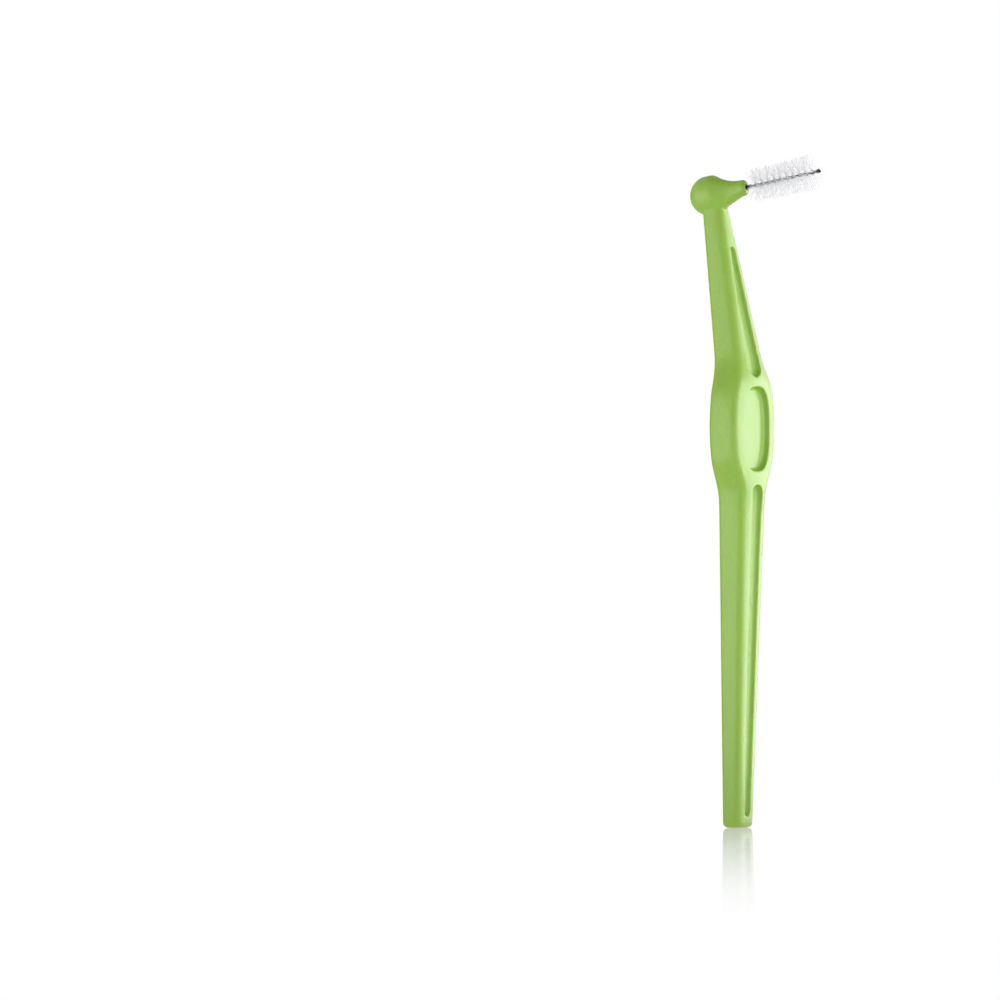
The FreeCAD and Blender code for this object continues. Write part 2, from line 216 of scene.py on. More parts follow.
def two_tones(tree, value, *stops):
    """A ramp between two (place, colour) stops."""
    made = node(tree, "ShaderNodeValToRGB", i0=value)
    for element, (place, colour) in zip(made.color_ramp.elements, stops):
        element.position = place
        element.color = (*colour, 1)
    return made.outputs[0]


def noise(tree, place, scale, detail):
    return node(tree, "ShaderNodeTexNoise", Vector=place, Scale=scale,
                Detail=detail).outputs["Fac"]


def new_material(name):
    """A material, its empty graph, and places on the object as a source."""
    material = bpy.data.materials.new(name)
    material.use_nodes = True
    tree = material.node_tree
    tree.nodes.clear()
    return material, tree, node(tree, "ShaderNodeTexCoord").outputs["Object"]


# %% [markdown]
# ## Studio light
# The backdrop is pure white paper. A satin handle shows the room mostly by reflection: its
# side mirrors a broad soft light at the left, its rounded corner mirrors the dim room behind
# the camera, and its front face mirrors a bright light at the right, behind the object. All
# these lights stand low, and the ceiling is dark. The world shader paints that room by compass
# direction and height, so no lamp is ever seen in a picture.

# %% Light levels by compass and by height, in degrees
ROOM_BY_COMPASS = (
    (-180, 1.25), (-143, 1.25), (-128, 0.3), (-92, 0.3), (-72, 0.9), (-54, 1.75), (-20, 2.0),
    (-2, 1.2), (12, 0.62), (45, 0.7), (80, 1.0), (110, 0.8), (150, 0.6), (172, 1.0),
    (180, 1.25))
ROOM_BY_HEIGHT = ((-90, 0.0), (-26, 0.0), (-22, 1.0), (10, 1.0), (24, 0.0))
LAMP_BY_COMPASS = (
    (-180, 0.0), (55, 0.0), (82, 1.1), (112, 3.2), (163, 3.2), (172, 0.0))
LAMP_BY_HEIGHT = ((-90, 0.0), (-13, 0.0), (-10, 1.0), (8, 1.0), (22, 0.0))
REST_BY_HEIGHT = ((-90, 0.66), (-26, 0.66), (-22, 0.0), (10, 0.0), (24, 0.55), (50, 0.5),
                  (65, 0.15), (90, 0.12))


def by_compass(angle):
    return (angle + 180) / 360


def by_height(angle):
    return (math.sin(math.radians(angle)) + 1) / 2


# %% Paint the room
world = bpy.data.worlds.new("studio_room")
bpy.context.scene.world = world
world.use_nodes = True
room = world.node_tree
room.nodes.clear()
towards = node(room, "ShaderNodeTexCoord").outputs["Generated"]
parts = node(room, "ShaderNodeSeparateXYZ", Vector=towards)
minus_y = combine(room, "MULTIPLY", parts.outputs["Y"], -1.0)
compass = combine(room, "ARCTAN2", parts.outputs["X"], minus_y)
turn_share = remap(room, compass, (-math.pi, math.pi), (0, 1))
height_share = remap(room, parts.outputs["Z"], (-1, 1), (0, 1))


def light(share, stops, place_of):
    """A ramp of light levels by compass or by height, and its scale back to real levels."""
    brightest = max(level for angle, level in stops)
    ramp = grey_ramp(room, share, [(place_of(angle), level / brightest)
                                   for angle, level in stops])
    return combine(room, "MULTIPLY", ramp, brightest)


room_light = combine(room, "MULTIPLY", light(turn_share, ROOM_BY_COMPASS, by_compass),
                     light(height_share, ROOM_BY_HEIGHT, by_height))
lamp_light = combine(room, "MULTIPLY", light(turn_share, LAMP_BY_COMPASS, by_compass),
                     light(height_share, LAMP_BY_HEIGHT, by_height))
walls = combine(room, "ADD", room_light, lamp_light)
total = combine(room, "ADD", walls, light(height_share, REST_BY_HEIGHT, by_height))
lit = node(room, "ShaderNodeBackground", Color=WHITE, Strength=total)
paper = node(room, "ShaderNodeBackground", Color=WHITE, Strength=1.0)
path = node(room, "ShaderNodeLightPath")
chosen = node(room, "ShaderNodeMixShader", i0=path.outputs["Is Camera Ray"],
              i1=lit.outputs[0], i2=paper.outputs[0])
node(room, "ShaderNodeOutputWorld", Surface=chosen.outputs[0])
print("room painted with", len(room.nodes), "nodes")

# %% [markdown]
# ## The floor
# The brush stands on a glossy white sheet that mirrors the foot of the handle, more weakly
# further out. The camera sees the sheet as white as the backdrop. What the plastic sees of it
# is greyer near the foot, and further out the sheet is clear to it, so that it sees the room's
# own lower half. A disc is enough, because past its edge the white backdrop takes over.

# %% Lay the floor
FLOOR_RADIUS = 1.5
FLOOR_SIDES = 96
FADE_REACH = 0.45
FOOT_REACH = 0.1
SHEET_GREY = 0.66
SHEET_IOR = 1.45
SHEET_ROUGHNESS = 0.06
MIRROR_BY_REACH = ((0.0, 0.77), (0.033, 0.7), (0.068, 0.63), (0.101, 0.53), (0.134, 0.475),
                   (0.196, 0.33), (0.253, 0.213), (0.307, 0.11), (0.358, 0.047), (0.45, 0.0))

rest()
bpy.ops.mesh.primitive_circle_add(vertices=FLOOR_SIDES, radius=FLOOR_RADIUS, fill_type="NGON")
floor = bpy.context.object
floor.name = "floor_sheet"
floor_finish, sheet, place = new_material("glossy_white_sheet")
reach = node(sheet, "ShaderNodeVectorMath", {"operation": "LENGTH"}, i0=place).outputs["Value"]
reach_share = remap(sheet, reach, (0, FADE_REACH), (0, 1))
fade = grey_ramp(sheet, reach_share, [(distance / FADE_REACH, share)
                                      for distance, share in MIRROR_BY_REACH])
grazing = node(sheet, "ShaderNodeFresnel", IOR=SHEET_IOR)
mirror_share = combine(sheet, "MULTIPLY", fade, grazing.outputs[0])
mirror = node(sheet, "ShaderNodeBsdfGlossy", Roughness=SHEET_ROUGHNESS)
by_camera = node(sheet, "ShaderNodeLightPath").outputs["Is Camera Ray"]
glow = node(sheet, "ShaderNodeEmission", Strength=remap(sheet, by_camera, (0, 1),
                                                        (SHEET_GREY, 1.0)))
surface = node(sheet, "ShaderNodeMixShader", i0=mirror_share, i1=glow.outputs[0],
               i2=mirror.outputs[0])
far_out = combine(sheet, "GREATER_THAN", reach, FOOT_REACH)
far_and_unseen = combine(sheet, "MAXIMUM", combine(sheet, "SUBTRACT", far_out, by_camera), 0.0)
room_below = node(sheet, "ShaderNodeBsdfTransparent")
whole_sheet = node(sheet, "ShaderNodeMixShader", i0=far_and_unseen, i1=surface.outputs[0],
                   i2=room_below.outputs[0])
node(sheet, "ShaderNodeOutputMaterial", Surface=whole_sheet.outputs[0])
floor.data.materials.append(floor_finish)
print("floor laid,", FLOOR_RADIUS * 2, "m across")

# %% [markdown]
# ## The handle's sizes
# The handle is a bar of soap in section: two faces, two sides, all slightly crowned, with
# corners of one radius from end to end. It is straight in the grip and the neck and swells at
# the thumb pad. These sizes give its section at any height. They are the CAD's own.

# %% Sections of the grip, the pad and the neck
GRIP_TOP = 69.0
PAD_BOTTOM = 79.0
PAD_TOP = 89.5
NECK_BOTTOM = 100.0
NECK_TOP = 128.6
NECK_END = 131.6
GRIP_OFFSET = 1.05
BEND_HEIGHT = 93.28
NECK_LEAN = math.radians(10)

# Width across Y, thickness along X, and tilt of the crowned faces in degrees.
FOOT_SECTION = (6.45, 4.35, 8.0)
GRIP_TOP_SECTION = (9.6, 6.5, 8.0)
PAD_EDGE_SECTION = (16.05, 6.9, 2.0)
PAD_MIDDLE_SECTION = (16.85, 6.9, 2.0)
NECK_SECTION = (10.0, 6.3, 10.0)
NECK_TOP_SECTION = (4.3, 4.95, 10.0)


def between(start, end, share):
    return start + (end - start) * share


def eased(share):
    return (1 - math.cos(math.pi * share)) / 2


def midline(height):
    """Place along X of the middle of the handle's thickness."""
    if height <= GRIP_TOP:
        return GRIP_OFFSET * height / GRIP_TOP
    return GRIP_OFFSET - math.tan(NECK_LEAN) * max(height - BEND_HEIGHT, 0)


def section_size(height):
    """Width, thickness and face tilt at a height."""
    if height <= GRIP_TOP:
        start, end, share = FOOT_SECTION, GRIP_TOP_SECTION, height / GRIP_TOP
    elif height <= PAD_BOTTOM:
        start, end = GRIP_TOP_SECTION, PAD_EDGE_SECTION
        share = eased((height - GRIP_TOP) / (PAD_BOTTOM - GRIP_TOP))
    elif height <= PAD_TOP:
        start, end = PAD_EDGE_SECTION, PAD_MIDDLE_SECTION
        share = math.sin(math.pi * (height - PAD_BOTTOM) / (PAD_TOP - PAD_BOTTOM))
    elif height <= NECK_BOTTOM:
        start, end = PAD_EDGE_SECTION, NECK_SECTION
        share = eased((height - PAD_TOP) / (NECK_BOTTOM - PAD_TOP))
    else:
        start, end = NECK_SECTION, NECK_TOP_SECTION
        share = (height - NECK_BOTTOM) / (NECK_TOP - NECK_BOTTOM)
    return [between(low, high, share) for low, high in zip(start, end)]


for name, height in (("foot", 0), ("grip top", GRIP_TOP), ("pad", (PAD_BOTTOM + PAD_TOP) / 2),
                     ("neck", NECK_BOTTOM), ("neck top", NECK_TOP)):
    print(name, [round(size, 2) for size in section_size(height)])

# %% [markdown]
# ## Drawing one section
# A section starts as a plane. A bevel of its four vertices rounds the corners, its straight
# edges are cut up, and proportional editing pulls their middles out a little. Scaling one
# section up the handle would be quicker, but the corner radius would grow with it, which the
# real handle's doesn't.

# %% Draw a section
CORNER_RADIUS = 1.2
CORNER_STEPS = 6
EDGE_CUTS = 7
SIDE_TILT = math.radians(16)
CORNER_SHARE_LEFT_FLAT = 0.7


def crown(half, tilt):
    """How far a crowned edge stands out past its corners, from half its length."""
    straight = half - CORNER_RADIUS + CORNER_RADIUS * math.sin(tilt)
    return straight * math.tan(tilt / 2) - CORNER_RADIUS * (1 - math.cos(tilt))


def face_height(height):
    """How far the crowned face stands out from the middle of the thickness."""
    width, thickness, face_tilt = section_size(height)
    return thickness / 2 + crown(width / 2, math.radians(face_tilt))


def draw_section(height):
    width, thickness, face_tilt = section_size(height)
    centre = Vector((midline(height), 0, height))
    bpy.ops.mesh.select_all(action="DESELECT")
    bpy.ops.mesh.primitive_plane_add(size=1, location=centre)
    bpy.ops.transform.resize(value=(thickness, width, 1), center_override=centre)
    bpy.ops.mesh.bevel(offset=CORNER_RADIUS, segments=CORNER_STEPS, affect="VERTICES")
    bpy.ops.mesh.delete(type="ONLY_FACE")

    def at(vert, x, y):
        return (vert.co - centre - Vector((x, y, 0))).length < SAME_PLACE

    def straight(edge):
        spot = middle(edge) - centre
        return abs(spot.z) < SAME_PLACE and min(abs(spot.x), abs(spot.y)) < SAME_PLACE

    pick("edges", straight)
    bpy.ops.mesh.subdivide(number_cuts=EDGE_CUTS)
    rise_of_face = crown(width / 2, math.radians(face_tilt))
    rise_of_side = crown(thickness / 2, SIDE_TILT)
    for x, y, rise, span in ((1, 0, rise_of_face, width), (-1, 0, rise_of_face, width),
                             (0, 1, rise_of_side, thickness), (0, -1, rise_of_side, thickness)):
        pick("verts", lambda vert: at(vert, x * thickness / 2, y * width / 2))
        bpy.ops.transform.translate(
            value=(x * rise, y * rise, 0), use_proportional_edit=True,
            proportional_edit_falloff="SPHERE",
            proportional_size=span / 2 - CORNER_RADIUS * CORNER_SHARE_LEFT_FLAT)


# %% [markdown]
# ## The handle's skin
# The section is drawn at each station, closer together where the handle swells, and with a
# support next to each bend, so that the straight runs stay straight. Bridging neighbouring
# sections makes the skin, and a face closes each end.

# %% Bridge the sections
FLARE_SHARES = (0.2, 0.4, 0.6, 0.8, 1.0)
PAD_SHARES = (0.25, 0.5, 0.75, 1.0)
FOOT_SUPPORT = 2.4
BEND_SUPPORT = 4
NECK_SUPPORT = 118.0
END_SUPPORT = 1

stations = [0.0, FOOT_SUPPORT, GRIP_TOP / 2, GRIP_TOP - BEND_SUPPORT, GRIP_TOP]
stations += [between(GRIP_TOP, PAD_BOTTOM, share) for share in FLARE_SHARES]
stations += [between(PAD_BOTTOM, PAD_TOP, share) for share in PAD_SHARES]
stations += [between(PAD_TOP, NECK_BOTTOM, share) for share in FLARE_SHARES]
stations += [NECK_BOTTOM + BEND_SUPPORT, NECK_SUPPORT, NECK_END - END_SUPPORT, NECK_END]

skin = empty_mesh("handle_skin")
for height in stations:
    draw_section(height)
for low, high in zip(stations, stations[1:]):
    pick("edges", lambda edge: all(
        min(abs(vert.co.z - low), abs(vert.co.z - high)) < SAME_PLACE for vert in edge.verts)
         and abs(edge.verts[0].co.z - edge.verts[1].co.z) < SAME_PLACE)
    bpy.ops.mesh.bridge_edge_loops()
for end in (stations[0], stations[-1]):
    pick("edges", lambda edge: abs(middle(edge).z - end) < SAME_PLACE)
    bpy.ops.mesh.edge_face_add()
face_outwards()
print("sections:", len(stations), "faces:", len(bmesh.from_edit_mesh(skin.data).faces))

# %% [markdown]
# ## The rounded foot
# The handle stands on a flat end whose rim is softly rounded. A bevel of the rim's edges does
# it. After that, two levels of subdivision turn the stations into one smooth curve.

# %% Round the foot and smooth the skin
FOOT_ROUNDING = 1.05
FOOT_STEPS = 6
SKIN_LEVELS = 2

pick("edges", lambda edge: all(vert.co.z < SAME_PLACE for vert in edge.verts))
bpy.ops.mesh.bevel(offset=FOOT_ROUNDING, segments=FOOT_STEPS)
apply_modifier(skin, "SUBSURF", levels=SKIN_LEVELS, render_levels=SKIN_LEVELS)
print("skin faces:", len(skin.data.polygons))

# %% [markdown]
# ## Tools for the pocket and the channels
# The thumb pocket and the two grip channels are hollows with soft rims, and walls that curve
# into a flat floor. Each is cut with a tool of its own shape, as a mould maker sinks a cavity.
# The tool is an outline that is extruded down through the surface, and then inset in small
# steps while it goes deeper, along part of an ellipse. The pocket's walls start upright. Those
# of the channels start at a slope, and are rounder.

# %% Start, sink and place a tool
TOOL_SIDES = 64
TOOL_HEADROOM = 2.0
RIM_DEPTH = 0.1
WALL_STEPS = 6


def start_tool(name, radius):
    tool = empty_mesh(name)
    bpy.ops.mesh.primitive_circle_add(vertices=TOOL_SIDES, radius=radius, fill_type="NGON",
                                      location=(0, 0, TOOL_HEADROOM))
    return tool


def sink(depth, wall_run, wall_start):
    """Takes the selected outline down through the surface and rounds its walls inwards."""
    bpy.ops.mesh.extrude_region_move(
        TRANSFORM_OT_translate={"value": (0, 0, -TOOL_HEADROOM - RIM_DEPTH)})
    run = wall_run / math.cos(wall_start)
    drop = (depth - RIM_DEPTH) / (1 - math.sin(wall_start))
    for step in range(WALL_STEPS):
        start, end = (between(wall_start, math.pi / 2, (step + more) / WALL_STEPS)
                      for more in (0, 1))
        bpy.ops.mesh.inset(thickness=run * (math.cos(start) - math.cos(end)),
                           depth=drop * (math.sin(end) - math.sin(start)))


def finish_tool(tool, low, high, way):
    """Lays a tool on a face, from a low to a high point given as (outwards, height)."""
    face_outwards()
    up_face = Vector((way * (high[0] - low[0]), 0, high[1] - low[1])).normalized()
    across = Vector((0, way, 0))
    outwards = across.cross(up_face)
    turn = Matrix((across, up_face, outwards)).transposed().to_4x4()
    tool.matrix_world = Matrix.Translation((way * low[0], 0, low[1])) @ turn
    settle(tool)
    return tool


# %% [markdown]
# ## Sinking the hollows
# The pocket is an oval that is squarer than an ellipse: each point of a circle is pushed out
# along its axes. A channel is a slot that tapers, so one half of its circle is slid up the face
# and scaled. The photograph shows the hollows of the front face. The back is taken to be the
# same.

# %% Cut the pocket and the channels
POCKET_HALF_LENGTH = 8.8
POCKET_HALF_WIDTH = 5.2
POCKET_SQUARENESS = 2.8
POCKET_DEPTH = 1.1
POCKET_WALL_RUN = 0.7
POCKET_WALL_START = 0.0
POCKET_PLACE = 0.45
CHANNEL_DEPTH = 0.95
CHANNEL_WALL_SHARE = 0.9
CHANNEL_WALL_START = math.radians(30)

# Height of the low and the high end's middle, then the radius at each.
CHANNELS = ((3.5, 69.85, 1.1, 2.15), (97.1, 121.3, 2.5, 0.85))


def pocket_tool(way):
    power = 2 / POCKET_SQUARENESS
    tool = start_tool("pocket_tool", 1)
    for vert in bmesh.from_edit_mesh(tool.data).verts:
        vert.co.x = math.copysign(abs(vert.co.x) ** power, vert.co.x) * POCKET_HALF_WIDTH
        vert.co.y = math.copysign(abs(vert.co.y) ** power, vert.co.y) * POCKET_HALF_LENGTH
    bpy.ops.mesh.flip_normals()
    sink(POCKET_DEPTH, POCKET_WALL_RUN, POCKET_WALL_START)
    height = between(PAD_BOTTOM, PAD_TOP, POCKET_PLACE)
    outwards = way * midline(height) + face_height(height)
    return finish_tool(tool, (outwards, height), (outwards, height + 1), way)


def channel_tool(low, high, low_radius, high_radius, way):
    ends = [(way * midline(height) + face_height(height), height) for height in (low, high)]
    length = math.hypot(ends[1][0] - ends[0][0], high - low)
    tool = start_tool("channel_tool", low_radius)
    pick("verts", lambda vert: vert.co.y > -JUST_INSIDE)
    ratio = high_radius / low_radius
    bpy.ops.transform.resize(value=(ratio, ratio, 1), center_override=(0, 0, TOOL_HEADROOM))
    bpy.ops.transform.translate(value=(0, length, 0))
    pick("faces", lambda face: True)
    bpy.ops.mesh.flip_normals()
    sink(CHANNEL_DEPTH, CHANNEL_WALL_SHARE * min(low_radius, high_radius), CHANNEL_WALL_START)
    return finish_tool(tool, *ends, way)


tools = []
for way in (1, -1):
    tools.append(pocket_tool(way))
    tools += [channel_tool(*sizes, way) for sizes in CHANNELS]
hollows = join(tools)
apply_modifier(skin, "BOOLEAN", object=hollows, operation="DIFFERENCE", solver="EXACT")
bpy.data.objects.remove(hollows)
print("skin with hollows:", len(skin.data.polygons), "faces")

# %% [markdown]
# ## The head's outline
# The head is a pear about the wire's axis: a round back on a short barrel, a hollow flank, and
# a straight nozzle with a soft rim. Its outline is a chain of arcs. Where two arcs touch, their
# centres and the touching point are in line, which gives the flank's radius.

# %% Draw the pear's outline
HEAD_TILT = math.radians(10.1)
HEAD_SETBACK = 1.85
HEAD_RISE = 4.2
HEAD_RADIUS = 4.15
BARREL = 1.2
SHOULDER_RADIUS = 2.0
NOZZLE_RADIUS = 1.73
NOZZLE_REACH = 9.45
NOZZLE_LAND = 0.95
NOZZLE_ROUNDING = 0.85
BACK_STEPS = 16
SHOULDER_STEPS = 5
FLANK_STEPS = 14
RIM_STEPS = 6

head_centre = Vector((midline(NECK_TOP) - HEAD_SETBACK, 0, NECK_TOP + HEAD_RISE))
head_along = Vector((math.cos(HEAD_TILT), 0, math.sin(HEAD_TILT)))
head_up = Vector((-head_along.z, 0, head_along.x))
nozzle_end = head_centre + head_along * NOZZLE_REACH


def arc(centre, radius, start, end, steps):
    """Points (place along the axis, radius) of an arc of the profile, without its first."""
    angles = [between(start, end, (step + 1) / steps) for step in range(steps)]
    return [(centre[0] + radius * math.cos(angle), centre[1] + radius * math.sin(angle))
            for angle in angles]


def pear_profile():
    """Round back, short barrel, round shoulder, hollow flank, and the nozzle's soft rim."""
    land = NOZZLE_REACH - NOZZLE_LAND
    run = land - BARREL
    drop = HEAD_RADIUS - NOZZLE_RADIUS - SHOULDER_RADIUS
    flank = (run ** 2 + drop ** 2 - SHOULDER_RADIUS ** 2) / (2 * (SHOULDER_RADIUS + drop))
    shoulder_centre = (BARREL, HEAD_RADIUS - SHOULDER_RADIUS)
    flank_centre = (land, NOZZLE_RADIUS + flank)
    meet = math.atan2(flank_centre[1] - shoulder_centre[1], run)
    rim_centre = (NOZZLE_REACH - NOZZLE_ROUNDING, NOZZLE_RADIUS - NOZZLE_ROUNDING)
    profile = arc((0, 0), HEAD_RADIUS, math.pi, math.pi / 2, BACK_STEPS)
    profile += [(BARREL, HEAD_RADIUS)]
    profile += arc(shoulder_centre, SHOULDER_RADIUS, math.pi / 2, meet, SHOULDER_STEPS)
    profile += arc(flank_centre, flank, meet + math.pi, 3 * math.pi / 2, FLANK_STEPS)
    profile += [(rim_centre[0], NOZZLE_RADIUS)]
    profile += arc(rim_centre, NOZZLE_ROUNDING, math.pi / 2, 0, RIM_STEPS)
    return profile


print("points in the outline:", len(pear_profile()))

# %% [markdown]
# ## Turning the head
# It is made as on a lathe: one circle is extruded along the axis and resized at each step of
# the outline. Spin would do as well, but this way each step can be checked by its radius. In
# the photograph the head looks narrower across than it is high, so it is squeezed at the end.

# %% Turn the pear
LATHE_SIDES = 96
HEAD_WIDTH_SHARE = 0.8


def turned(name, profile, sides):
    """A closed solid of circles along X, as on a lathe."""
    piece = empty_mesh(name)
    place, radius = profile[0]
    bpy.ops.mesh.primitive_circle_add(vertices=sides, radius=radius, fill_type="NGON",
                                      location=(place, 0, 0), rotation=(0, -math.pi / 2, 0))
    for next_place, next_radius in profile[1:]:
        bpy.ops.mesh.extrude_region_move(
            TRANSFORM_OT_translate={"value": (next_place - place, 0, 0)})
        bpy.ops.transform.resize(value=(1, next_radius / radius, next_radius / radius),
                                 center_override=(next_place, 0, 0))
        place, radius = next_place, next_radius
    face_outwards()
    return piece


def lay_on_head(piece, start):
    """Turns a piece from the X axis to the head's axis, with its origin at a point."""
    turn = Matrix((head_along, Vector((0, 1, 0)), head_up)).transposed().to_4x4()
    piece.matrix_world = Matrix.Translation(start) @ turn
    settle(piece)


pear = turned("pear", pear_profile(), LATHE_SIDES)
pear.scale = (1, HEAD_WIDTH_SHARE, 1)
settle(pear)
lay_on_head(pear, head_centre)
print("pear faces:", len(pear.data.polygons))

# %% [markdown]
# ## The web under the nozzle
# Below the nozzle a web runs down to the neck: its underside is straight, and turns into the
# neck through a small hollow. Its rings are ellipses, set square to that underside, and
# bridged. They lie a hair inside the nozzle and the neck, so that no two surfaces coincide.

# %% Bend the web
WEB_SLOPE = math.radians(30)
WEB_REACH = 8.25
WEB_CLEARANCE = 0.06
WEB_TIP_SHARE = 0.85
WEB_TIP = 2 * NOZZLE_RADIUS * WEB_TIP_SHARE
WEB_WIDTH = 3.6
WEB_DEPTH_AT_NECK = 4.5
WEB_DEPTH_AT_BEND = 4.0
WEB_STEPS = 8
WEB_SIDES = 48
WEB_END_REACH = 3
HOLLOW_RADIUS = 1.0


def neck_front(height):
    """Place along X of the neck's crowned front."""
    return midline(height) + face_height(height)


neck_way = math.atan((neck_front(NECK_BOTTOM) - neck_front(NECK_TOP)) / (NECK_TOP - NECK_BOTTOM))
web_tip = head_centre + head_along * WEB_REACH - head_up * NOZZLE_RADIUS
downhill = Vector((-math.cos(WEB_SLOPE), 0, -math.sin(WEB_SLOPE)))
underneath = Vector((math.sin(WEB_SLOPE), 0, -math.cos(WEB_SLOPE)))


def hollow_middle(run):
    return web_tip + downhill * run + underneath * HOLLOW_RADIUS


def gap_to_neck(run):
    """How far the hollow's circle still is from the neck, after this much underside."""
    point = hollow_middle(run)
    return point.x - neck_front(point.z) - HOLLOW_RADIUS / math.cos(neck_way)


underside = NOZZLE_REACH * gap_to_neck(0) / (gap_to_neck(0) - gap_to_neck(NOZZLE_REACH))
web_rings = []
for step in range(WEB_STEPS + 1):
    share = step / WEB_STEPS
    angle = between(math.pi + neck_way, math.pi / 2 + WEB_SLOPE, share)
    inwards = Vector((math.cos(angle), 0, math.sin(angle)))
    deep = between(WEB_DEPTH_AT_NECK, WEB_DEPTH_AT_BEND, share)
    ring_reach = HOLLOW_RADIUS + WEB_CLEARANCE + deep / 2
    web_rings.append((hollow_middle(underside) + inwards * ring_reach, angle, deep, WEB_WIDTH))
web_rings.append((web_tip - underneath * (WEB_CLEARANCE + WEB_TIP / 2), math.pi / 2 + WEB_SLOPE,
                  WEB_TIP, WEB_TIP))

web = empty_mesh("web")
for centre, angle, deep, wide in web_rings:
    bpy.ops.mesh.select_all(action="DESELECT")
    bpy.ops.mesh.primitive_circle_add(vertices=WEB_SIDES, radius=0.5, fill_type="NOTHING",
                                      location=centre)
    bpy.ops.transform.resize(value=(deep, wide, 1), center_override=centre)
    bpy.ops.transform.rotate(value=angle - math.pi, orient_axis="Y", center_override=centre)
bpy.ops.mesh.select_all(action="SELECT")
bpy.ops.mesh.bridge_edge_loops()
for centre in (web_rings[0][0], web_rings[-1][0]):
    pick("verts", lambda vert: (vert.co - centre).length < WEB_END_REACH and vert.is_boundary)
    bpy.ops.mesh.edge_face_add()
face_outwards()
settle(web)
print("web faces:", len(web.data.polygons), "straight underside:", round(underside, 2), "mm")

# %% [markdown]
# ## One moulding
# Skin, pear and web overlap, and in plastic they are one. The voxel remesh keeps only their
# common outside, on an even grid, and a few rounds of smoothing turn every sharp meeting line
# into the small fillet that a mould always has.

# %% Fuse and smooth
GRID_SIZE = 0.19
SMOOTHING = 0.5
SMOOTHING_ROUNDS = 5

skin = join([skin, pear, web])
skin.name = "handle_skin"
apply_modifier(skin, "REMESH", mode="VOXEL", voxel_size=GRID_SIZE)
apply_modifier(skin, "SMOOTH", factor=SMOOTHING, iterations=SMOOTHING_ROUNDS)
print("fused skin:", len(skin.data.polygons), "faces")

# %% [markdown]
# ## The wire's mouth
# The wire leaves the nozzle through a small dark mouth. It is drilled last, because smoothing
# would close it. Its edge is crisp, so steeper edges than the limit are shaded as sharp.

# %% Drill the mouth
MOUTH_PROFILE = ((-4.1, 0.46), (-1.1, 0.46), (-0.5, 0.6), (0.0, 0.66), (0.6, 0.7))
MOUTH_SIDES = 32
SHARP_ANGLE = math.radians(50)

drill = turned("drill", MOUTH_PROFILE, MOUTH_SIDES)
lay_on_head(drill, nozzle_end)
apply_modifier(skin, "BOOLEAN", object=drill, operation="DIFFERENCE", solver="EXACT")
bpy.data.objects.remove(drill)
shrink_to_metres(skin)
bpy.ops.object.shade_smooth_by_angle(angle=SHARP_ANGLE)

# %% [markdown]
# ## The twisted wire
# One steel wire is folded in half over a bundle of nylon threads and twisted. A round section
# of each strand is drawn side by side, stretched to the slope of its helix, and a Screw
# modifier winds both up the axis together.

# %% Wind the strands
STRAND_RADIUS = 0.195
STRAND_SIDES = 14
TWIST_RADIUS = 0.225
TWIST_PITCH = 3.05
WIRE_ANCHOR = 3.8
WIRE_PROTRUSION = 18.4
STEPS_PER_TURN = 28

fold_start = WIRE_PROTRUSION - TWIST_RADIUS - STRAND_RADIUS
turns = (fold_start + WIRE_ANCHOR) / TWIST_PITCH
slope = math.atan(2 * math.pi * TWIST_RADIUS / TWIST_PITCH)
wire = empty_mesh("wire_of_steel")
for side in (-1, 1):
    bpy.ops.mesh.select_all(action="DESELECT")
    centre = (side * TWIST_RADIUS, 0, -WIRE_ANCHOR)
    bpy.ops.mesh.primitive_circle_add(vertices=STRAND_SIDES, radius=STRAND_RADIUS,
                                      location=centre)
    bpy.ops.transform.resize(value=(1, 1 / math.cos(slope), 1), center_override=centre)
apply_modifier(wire, "SCREW", axis="Z", angle=2 * math.pi * turns,
               screw_offset=TWIST_PITCH * turns, steps=round(STEPS_PER_TURN * turns),
               render_steps=round(STEPS_PER_TURN * turns), use_merge_vertices=False)
top = max(vert.co.z for vert in wire.data.vertices)
print("strands wound:", len(wire.data.vertices), "vertices, top at", round(top, 3))

# %% [markdown]
# ## The fold at the tip
# The end ring of one strand is spun to the end of the other, by half a turn. Here that half
# turn dips back between the strands, so this wire ends 0.42 mm short of the CAD's. The doubled
# vertices are merged, the two ends in the head are closed, and the faces are turned outwards.

# %% Fold the tip
FOLD_STEPS = 12
MERGE_DISTANCE = 0.004


def lay_on_wire(piece):
    """Turns a piece from the Z axis to the wire's axis, with its origin at the nozzle's end."""
    turn = Matrix((-head_up, Vector((0, 1, 0)), head_along)).transposed().to_4x4()
    piece.matrix_world = Matrix.Translation(nozzle_end) @ turn
    settle(piece)


bpy.ops.object.mode_set(mode="EDIT")
phase = 2 * math.pi * turns
strand_way = Vector((math.cos(phase), math.sin(phase), 0))
fold_axis = Vector((0, 0, 1)).cross(strand_way)
pick("edges", lambda edge: all(vert.co.z > top - JUST_INSIDE and vert.co.dot(strand_way) > 0
                               for vert in edge.verts))
bpy.ops.mesh.spin(steps=FOLD_STEPS, angle=-math.pi, center=(0, 0, top), axis=fold_axis)
print("tip at", round(max(vert.co.z for vert in bmesh.from_edit_mesh(wire.data).verts), 3))
bpy.ops.mesh.select_all(action="SELECT")
bpy.ops.mesh.remove_doubles(threshold=MERGE_DISTANCE)
pick("edges", lambda edge: edge.is_boundary and middle(edge).z < SAME_PLACE - WIRE_ANCHOR)
bpy.ops.mesh.fill_holes(sides=0)
face_outwards()
lay_on_wire(wire)
shrink_to_metres(wire)

# %% [markdown]
# ## The nylon threads
# The strands grip each thread at its middle, and both its halves stand out, a little bent and
# never quite alike. One thread is modelled: a thin three-sided rod, cut across so that it can
# bend. Its halves are one unit long, so that a copy is scaled by its own length.

